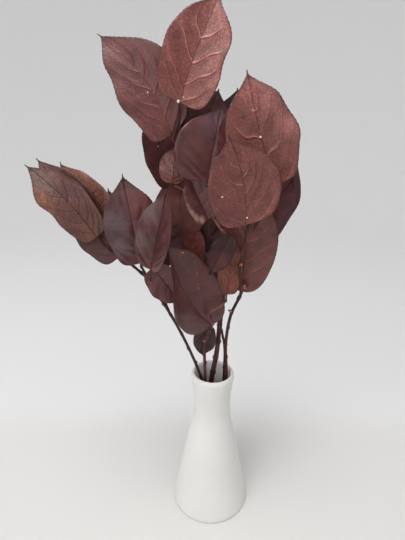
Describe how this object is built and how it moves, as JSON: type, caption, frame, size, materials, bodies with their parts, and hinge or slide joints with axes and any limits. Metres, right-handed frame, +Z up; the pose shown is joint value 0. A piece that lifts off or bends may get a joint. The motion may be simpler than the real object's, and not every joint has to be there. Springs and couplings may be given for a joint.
{
  "type": "vase of preserved salal stems",
  "caption": "Bunch of dried and preserved leafy stems with broad dark red leaves, standing in a white ceramic flask-shaped vase with a narrow neck.",
  "frame": {"origin": "middle of the vase's flat bottom, on the surface it stands on", "axes": "+Z up along the vase's axis, -Y towards the picture's viewer, +X to the picture's right"},
  "size_m": [0.2188, 0.1215, 0.488],
  "materials": {
    "ceramic": null,
    "leaf": null
  },
  "bodies": {
    "root": {"vase": "ceramic", "stem_left": "leaf", "stem_front": "leaf", "stem_tall": "leaf", "stem_right": "leaf", "stem_inner": "leaf"}
  },
  "joints": []
}
